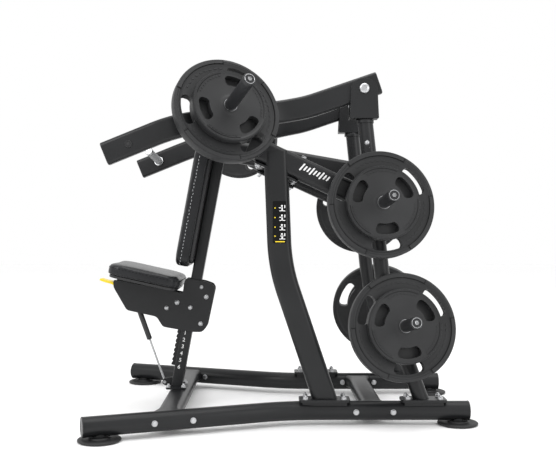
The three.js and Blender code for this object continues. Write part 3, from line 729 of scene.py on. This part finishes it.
# Each plate: size, radius, thickness, rim and web radius, dish, hub radius, slots, distance from the stop.
# A slot is its inner and outer radius, half its angle and its corner radius.
PLATES = (
    ("large", 225, 42, 206, 199, 5, 50, (150, 195, 21, 19), 0),
    ("small", 155, 34, 146, 141, 2.5, 42, (88, 132, 25, 19), 42.6),
)
for key, (root, way, start, tip, turn_by) in PEGS.items():
    carrier = "{}_arm" if key == "arm" else "frame"
    along = way.normalized()
    inner = 10 if key == "arm" else 22
    rod_shape = turned([
        (0, inner), (24.8, inner), (24.8, start - 9), (38, start - 9), (38, start - 2),
        (36.5, start - 1), (24.8, start - 1), (24.8, tip - 16), (0, tip - 16),
    ], 48)
    pair(f"{key}_peg", placed(rod_shape, root, along), SLEEVE, carrier, ["{}_" + key + "_peg"])
    cap = turned([
        (0, tip - 17), (25.2, tip - 17), (25.2, tip - 4), (23.5, tip - 1.2), (20, tip), (19, tip - 1.2),
        (14, tip - 1.6), (0, tip - 1.6),
    ], 48)
    pair(f"{key}_peg_cap", placed(cap, root, along), SLEEVE, carrier)
    washer = turned(
        [
            (18.6, tip - 2), (20.6, tip - 2), (20.6, tip - 0.2), (20, tip + 0.4), (19.2, tip + 0.4),
            (18.6, tip - 0.2),
        ],
        36,
    )
    pair(f"{key}_peg_ring", placed(washer, root, along), STEEL, carrier)
    socket = turned(
        [(0, tip - 2), (9, tip - 2), (9, tip + 1.2), (8, tip + 2), (5, tip + 2), (4.4, tip), (0, tip)], 6,
    )
    pair(f"{key}_peg_socket", placed(socket, root, along), SILVER_ROD, carrier)
    for size, radius, thick, rim, web, dish, hub, slot, reach in PLATES:
        at = start + reach
        plain, marks, painted_shade_strips, highlight_dashes = plate_shape(
            radius, thick, rim, web, dish, hub, slot,
            turn_by + (7 if key == "arm" and size == "small" else 0),
        )
        node = "{}_" + f"{key}_{size}_plate"
        pair(
            f"{key}_{size}_plate", placed(plain, root + along * at, along), IRON, node, [node], bevel=1.6,
            sharp=38, segments=2,
        )
        # The near-black strips are painted shade, and the light dashes are painted highlight.
        for part, shape, skin in (
            ("marks", marks, IRON), ("painted_shade_strips", painted_shade_strips, SHADE_AND_THREAD), ("painted_highlight", highlight_dashes, PAINTED_HIGHLIGHT),
        ):
            pair(f"{key}_{size}_{part}", placed(shape, root + along * at, along), skin, node)
        ring = turned(
            [(25, 2), (28, 2), (28, thick - 1), (27.5, thick + 0.4), (26, thick + 0.4), (25, thick - 1)],
            48,
        )
        pair(
            f"{key}_{size}_bush", placed(ring, root + along * at, along),
            STEEL if size == "small" else SLEEVE, node,
        )


# ---- seat post, rack and its numbers ----
# The post leans back by SLOPE. FRONT is half its depth, measured level.
SLOPE = 0.185
LEAN = math.atan(SLOPE)
FRONT = 25 * 1.0165


def post_y(z):
    """Where the middle of the post is at a height."""
    return -430.4 + SLOPE * (z - 350)


post = sweep([v3(0, post_y(96), 96), v3(0, post_y(1146), 1146)], rounded_box(60, 50, 7, 5), X_AXIS)
piece("seat_post_look", post, COAT, "frame", ["seat_post"])
piece(
    "post_base", moved(flange_plate(118, 92, 9, 12), Matrix.Translation(v3(0, post_y(100), 96.8))), COAT,
    "frame", bevel=1,
)
for sx in (-46, 46):
    for sy in (-34, 34):
        piece(
            f"post_nut_{int(sx > 0)}{int(sy > 0)}",
            placed(fastener(10, 8, stud=5), v3(sx, post_y(100) + sy, 101), Z_AXIS), STEEL, "frame",
        )
strut_ear = softened([(-500, 100), (-488, 138), (-498, 140), (-538, 134), (-545, 116), (-534, 104)], 7)
piece(
    "strut_ears", together(side_plate(strut_ear, -13, -8), side_plate(strut_ear, 8, 13)), COAT, "frame",
    bevel=0.8,
)


def along_post(z, out):
    return (post_y(z) - FRONT - 0.3 - out, z)


rack = [along_post(196, 0), along_post(600, 0)]
z = 594
while z > 200:
    rack += [
        along_post(z, 11), along_post(z - 3, 16), along_post(z - 8, 18), along_post(z - 14, 18),
        along_post(z - 17, 16.5),
    ]
    z -= 21
piece("ratchet_rack_look", side_plate(rack, -15, 15), COAT, "frame", ["ratchet_rack"], bevel=0.8, sharp=25)


def printed(name, text, size, at, right, up, body):
    """Generic position numbers, as thin raised print."""
    words = bpy.data.curves.new(name, "FONT")
    words.body = text
    words.size = size * MM
    words.extrude = 0.0002
    words.align_x = "CENTER"
    words.align_y = "CENTER"
    holder = new_object(name + "_text", words)
    mesh = evaluated(holder)
    bpy.data.objects.remove(holder)
    obj = new_object(name, mesh)
    out = right.cross(up).normalized()
    basis = Matrix((right, up, out)).transposed().to_4x4()
    mesh.transform(Matrix.Translation(at * MM) @ basis)
    mesh.materials.clear()
    mesh.materials.append(WHITE)
    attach(obj, body)


post_up = v3(0, SLOPE, 1).normalized()
post_right = post_up.cross(X_AXIS).normalized() * -1
if post_right.y < 0:
    post_right.negate()
for i, z in enumerate(range(346, 190, -31)):
    printed(
        f"position_number_{i + 1}", str(i + 1), 25, v3(30.3, post_y(z) - 5, z), post_right, post_up,
        "frame",
    )

# ---- pads: foam under vinyl, swelled by a cloth simulation ----
def cloth_pad(name, shape, body, node, cap, sew):
    verts, faces = shape
    mesh = bpy.data.meshes.new(name)
    mesh.from_pydata([tuple(p * MM) for p in verts], [], faces)
    obj = new_object(name, mesh)
    face_outwards(mesh)
    remesh = obj.modifiers.new("voxels", "REMESH")
    remesh.mode = "VOXEL"
    remesh.voxel_size = 0.0055
    obj.data = evaluated(obj)
    obj.modifiers.clear()
    start = [v.co.copy() for v in obj.data.vertices]
    cloth = obj.modifiers.new("cloth", "CLOTH")
    cloth.settings.quality = 4
    cloth.settings.mass = 0.3
    cloth.settings.tension_stiffness = 25
    cloth.settings.compression_stiffness = 25
    cloth.settings.bending_stiffness = 3
    cloth.settings.use_pressure = True
    cloth.settings.uniform_pressure_force = 4
    cloth.settings.effector_weights.gravity = 0
    cloth.collision_settings.use_collision = False
    cloth.point_cache.frame_start = 1
    cloth.point_cache.frame_end = 20
    for f in range(1, 21):
        scene.frame_set(f)
    swelled = evaluated(obj)
    obj.modifiers.clear()
    scene.frame_set(1)
    for v, s in zip(swelled.vertices, start):
        shift = v.co - s
        if shift.length > cap * MM:
            v.co = s + shift.normalized() * cap * MM
    obj.data = swelled
    sew(obj.data)
    for face in obj.data.polygons:
        face.use_smooth = True
    obj.data.materials.clear()
    obj.data.materials.append(VINYL)
    fine = obj.modifiers.new("fine", "SUBSURF")
    fine.levels = 1
    fine.render_levels = 1
    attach(obj, body)
    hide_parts(node)
    return obj


def on_pad(pad, points, lift):
    """The points of a closed line, moved onto a pad's cover. Also the way out of the cover at each."""
    tree = BVHTree.FromPolygons(
        [v.co for v in pad.data.vertices], [tuple(p.vertices) for p in pad.data.polygons],
    )
    line, outward = [], []
    for a, b in zip(points, points[1:] + points[:1]):
        count = max(1, int((b - a).length / 8))
        for k in range(count):
            at, normal, _, _ = tree.find_nearest(a.lerp(b, k / count) * MM)
            line.append(at / MM + normal * lift)
            outward.append(normal)
    return line + line[:1], outward


def thread(name, pad, points, skin, body, length=8.5, radius=1.4, gap=7.0):
    """A row of stitches lying on a pad's cover."""
    line, _ = on_pad(pad, points, 0.5)
    shapes = []
    run = next_at = 0.0
    for a, b in zip(line, line[1:]):
        span = (b - a).length
        while span and next_at <= run + span:
            at = a.lerp(b, (next_at - run) / span)
            profile = [(0, 0), (radius, 0.7), (radius, length - 0.7), (0, length)]
            shapes.append(placed(turned(profile, 8), at, (b - a).normalized()))
            next_at += length + gap
        run += span
    return piece(name, together(*shapes), skin, body)


def piping(name, pad, points, body):
    """A thin welt round a pad, half sunk in its cover."""
    line, outward = on_pad(pad, points, 0.4)
    rings = []
    for i, p in enumerate(line[:-1]):
        along = (line[i + 1] - line[i - 1 if i else -2]).normalized()
        out = (outward[i] - along * outward[i].dot(along)).normalized()
        across = along.cross(out)
        rings.append([p + out * u + across * w for u, w in circle(1.6, 10)])
    return piece(name, loft(rings, looped=True), VINYL, body, sharp=70)


seat_centre = v3(0, -611, 596)
seat_turn = Matrix.Translation(seat_centre) @ Matrix.Rotation(-math.radians(12.5), 4, "X")
SEAT_WIDTH, SEAT_LENGTH = 396, 330


def seat_ring(inset, z, radius=60):
    outline = rounded_box(SEAT_WIDTH - 2 * inset, SEAT_LENGTH - 2 * inset, max(20, radius - inset / 2), 10)
    return [v3(u, w, z) for u, w in outline]


seat_levels = (
    (6, -4.2), (2, -2), (0, 4), (0, 20), (1, 30), (4, 35), (12, 39), (36, 42), (80, 44), (120, 44.6),
)
seat_shape = moved(loft([seat_ring(inset, z) for inset, z in seat_levels]), seat_turn)


def draw_seat_seam(mesh):
    back = seat_turn.inverted()
    for v in mesh.vertices:
        p = back @ (v.co / MM)
        rim = max(abs(p.x) / (SEAT_WIDTH / 2), abs(p.y) / (SEAT_LENGTH / 2))
        near = math.exp(-((p.z - 30) / 2.2) ** 2)
        if rim > 0.9 and near > 0.02:
            inward = v3(-p.x, -p.y, 0).normalized()
            v.co += (seat_turn.to_3x3() @ inward) * near * 1.6 * MM
        if p.z < 1:
            v.co = (seat_turn @ v3(p.x, p.y, max(p.z, -4))) * MM


seat = cloth_pad("seat_pad_look", seat_shape, "seat_carriage", "seat_pad", 5, draw_seat_seam)
piping("seat_piping", seat, [seat_turn @ p for p in seat_ring(0, -1.5)], "seat_carriage")
# The seat's stitches are drawn in the same near-black as the plates' painted shade.
thread("seat_stitches", seat, [seat_turn @ p for p in seat_ring(0, 30)], SHADE_AND_THREAD, "seat_carriage")
board = flange_plate(366, 306, 12, 52)
piece(
    "seat_board_look", moved(board, seat_turn @ Matrix.Translation(v3(0, 0, -11))), PLASTIC,
    "seat_carriage", ["seat_board"], bevel=1.5,
)

back_turn = Matrix.Translation(v3(0, post_y(922) - FRONT, 922)) @ Matrix.Rotation(-LEAN, 4, "X")
BACK_WIDTH, BACK_HEIGHT = 296, 562


def back_ring(inset, y, radius=42):
    outline = rounded_box(BACK_WIDTH - 2 * inset, BACK_HEIGHT - 2 * inset, max(16, radius - inset / 2), 10)
    return [v3(u, y, w) for u, w in outline]


back_levels = (
    (6, -13), (2, -15), (0, -21), (0, -54), (1, -62), (5, -67), (14, -71), (38, -74), (75, -75.5),
    (110, -76),
)
back_shape = moved(loft([back_ring(inset, y) for inset, y in back_levels]), back_turn)


def draw_back_seam(mesh):
    back = back_turn.inverted()
    for v in mesh.vertices:
        p = back @ (v.co / MM)
        rim = max(abs(p.x) / (BACK_WIDTH / 2), abs(p.z) / (BACK_HEIGHT / 2))
        near = math.exp(-((p.y + 52) / 2.4) ** 2)
        if rim > 0.9 and near > 0.02:
            inward = v3(-p.x / (BACK_WIDTH / 2), 0, -p.z / (BACK_HEIGHT / 2)).normalized()
            v.co += (back_turn.to_3x3() @ inward) * near * 1.8 * MM
        if p.y > -14:
            v.co = (back_turn @ v3(p.x, min(p.y, -12.6), p.z)) * MM


back = cloth_pad("back_pad_look", back_shape, "frame", "back_pad", 5, draw_back_seam)
thread("back_stitches", back, [back_turn @ p for p in back_ring(0, -52)], THREAD, "frame")
piping("back_piping", back, [back_turn @ p for p in back_ring(0, -15)], "frame")
back_board = loft([[v3(u, y, w) for u, w in rounded_box(254, 520, 30, 6)] for y in (-12.3, -0.4)])
piece("back_pad_board_look", moved(back_board, back_turn), PLASTIC, "frame", ["back_pad_board"], bevel=1.2)

# ---- seat carriage ----
outline = softened([
    (-763, 592), (-763, 558), (-702, 452), (-566, 422), (-537, 376), (-402, 352), (-358, 352),
    (-336, 376), (-299, 552), (-308, 570), (-345, 584), (-432, 598), (-440, 576), (-446, 530),
], 12)
piece(
    "seat_carriage_look", side_plate(outline, 36, 42), COAT, "seat_carriage", ["seat_carriage"], bevel=0.9,
    sharp=40,
)
piece("seat_carriage_far_plate", side_plate(outline, -42, -36), COAT, "seat_carriage", bevel=0.9, sharp=40)
piece("seat_carriage_nose", slab(0, -752, 566, 73, 8, 30), COAT, "seat_carriage", bevel=1.5)
# Bolts through the carriage, with a spacer between its plates at all but the first.
for i, (y, z, r) in enumerate(((-360, 557, 7), (-520, 462, 8), (-472, 487, 9))):
    for sx in (-1, 1):
        cap_at = v3(sx * 42, y, z)
        piece(
            f"carriage_bolt_{i}_{'l' if sx > 0 else 'r'}",
            placed(fastener(r + 1, 6, dome=True), cap_at, v3(sx, 0, 0)), STEEL, "seat_carriage",
        )
    if i:
        piece(
            f"carriage_spacer_{i}",
            placed(turned([(0, -36), (r, -36), (r, 36), (0, 36)], 24), v3(0, y, z), X_AXIS), STEEL,
            "seat_carriage",
        )
for i, (y, z) in enumerate(((-339, 512), (-365, 390))):
    which = ("upper", "lower")[i]
    for sx in (-1, 1):
        piece(
            f"roller_bolt_{i}_{'l' if sx > 0 else 'r'}",
            placed(fastener(9.5, 7, dome=True), v3(sx * 42, y, z), v3(sx, 0, 0)), STEEL, "seat_carriage",
        )
    centre_y = max(y, post_y(z) + FRONT + 16.5)
    wheel = turned([(7.5, -25), (13, -25), (15.5, -23), (15.5, 23), (13, 25), (7.5, 25)], 32)
    piece(
        f"{which}_roller_look", placed(wheel, v3(0, centre_y, z), X_AXIS), PLASTIC, "seat_carriage",
        [f"{which}_roller"],
    )
piece("lock_pin", placed(fastener(9, 5, dome=True), v3(42, -412, 464), X_AXIS), STEEL, "seat_carriage")
lever = softened(
    [
        (-757, 562), (-776, 571), (-800, 577), (-828, 587), (-827, 596), (-800, 588), (-774, 582),
        (-757, 574),
    ],
    4,
)
piece(
    "release_lever_look", side_plate(lever, -30, 30), YELLOW, "release_lever", ["release_lever"], bevel=2.5,
    sharp=30,
)

# ---- gas spring ----
foot_pin, head_pin = v3(0, -532, 120), v3(0, -681, 532)
strut = (head_pin - foot_pin).normalized()
rod_look = together(
    placed(turned([(0, 6), (4.5, 6), (4.5, 285), (0, 285)], 24), foot_pin, strut),
    placed(turned([(0, -7), (8.2, -7), (9, -6), (9, 6), (8.2, 7), (0, 7)], 28), foot_pin, X_AXIS),
)
piece("gas_spring_rod_look", rod_look, SILVER_ROD, "gas_rod", ["gas_spring_rod"])
barrel_look = together(
    placed(
        turned(
            [
                (0, 205), (5, 205), (9, 206), (11.4, 209), (12, 212), (12, 414), (10, 420), (6, 424),
                (0, 424),
            ],
            36,
        ),
        foot_pin, strut,
    ),
    placed(turned([(0, 418), (6, 418), (6, 434), (0, 434)], 20), foot_pin, strut),
    placed(turned([(0, -9), (9, -9), (9, 9), (0, 9)], 28), head_pin, X_AXIS),
)
piece("gas_spring_barrel_look", barrel_look, PLASTIC, "gas_barrel", ["gas_spring_barrel"])
pin_profile = [(0, -17), (7, -17), (7, -13), (4, -13), (4, 13), (7, 13), (7, 17), (0, 17)]
piece("strut_pin_0", placed(turned(pin_profile, 24), foot_pin, X_AXIS), STEEL, "frame")

# ---- placard and tube mark, both generic ----
ON_THE_SIDE = Matrix(((0, 0, 1), (1, 0, 0), (0, 1, 0))).to_4x4()
x_face = 330 + 26 + 0.4
base_card = moved(
    loft([[v3(u, w, d) for u, w in rounded_box(56, 176, 4, 4)] for d in (0, 1.4)]),
    Matrix.Translation(v3(x_face, -8, 853)) @ ON_THE_SIDE,
)
piece("placard_look", base_card, CARD, "frame", ["placard"])


def patch(y, z, width, height, corner=1.0):
    return moved(
        loft([[v3(u, w, d) for u, w in rounded_box(width, height, corner, 3)] for d in (0, 0.5)]),
        Matrix.Translation(v3(x_face + 1.4, y, z)) @ ON_THE_SIDE,
    )


white_bits, yellow_bits = [], []
for row, z in enumerate((912, 872, 832, 794)):
    white_bits.append(patch(2, z + 9, 8, 8, 3.9))
    white_bits.append(patch(3, z - 4, 6, 17, 2.5))
    white_bits.append(patch(-4 + row * 2, z + 1, 14, 3.4))
    white_bits.append(patch(10, z - 12, 12, 3.2))
    white_bits.append(patch(-4, z - 12, 9, 3.2))
    yellow_bits.append(patch(-27, z, 5, 5))
    white_bits.append(patch(14, z + 6, 4, 12))
yellow_bits.append(patch(-6, 771, 40, 4))
piece("placard_pictures", together(*white_bits), WHITE, "frame")
piece("placard_marks", together(*yellow_bits), YELLOW, "frame")

marks = []
tube_up = -side_down
for i in range(9):
    reach = 92 + i * 15
    centre = tube_at(0) + side_way * reach + tube_up * 10
    centre.x += 25.6
    tall = 34 if i % 3 == 0 else 22
    stroke = rounded_box(7, tall, 2.5, 3)
    corners = [centre + side_way * (u + w * 0.3) + tube_up * w for u, w in stroke]
    marks.append(loft([[c + X_AXIS * d for c in corners] for d in (0, 0.7)]))
pair("tube_mark", together(*marks), WHITE, "frame")

# ---- floor, light ----
floor_mesh = bpy.data.meshes.new("floor")
floor_mesh.from_pydata([(-14, -14, 0), (14, -14, 0), (14, 14, 0), (-14, 14, 0)], [], [(0, 1, 2, 3)])
floor = new_object("floor", floor_mesh)
pale = material(
    "floor_paper", (0.985, 0.985, 0.985), (0.995, 0.995, 0.995), (0.75, 0.85), grain=50, grain_depth=0.0,
)
floor_mesh.materials.append(pale)

world = bpy.data.worlds.new("studio")
world.use_nodes = True
world.node_tree.nodes["Background"].inputs["Color"].default_value = (1, 1, 1, 1)
world.node_tree.nodes["Background"].inputs["Strength"].default_value = 1.0
scene.world = world


def lamp(name, at, aim, size, power):
    light = bpy.data.lights.new(name, "AREA")
    light.shape = "RECTANGLE"
    light.size, light.size_y = size
    light.energy = power
    holder = new_object(name, light)
    holder.location = at
    holder.rotation_euler = (Vector(aim) - Vector(at)).to_track_quat("-Z", "Y").to_euler()


lamp("key", (2.6, -2.6, 3.2), (0, 0, 0.7), (1.8, 1.8), 60)
lamp("top", (0.3, 0.4, 4.2), (0, 0, 0.6), (3.0, 3.0), 70)
lamp("side", (2.8, 3.0, 1.8), (0, 0.2, 0.8), (1.2, 2.2), 26)
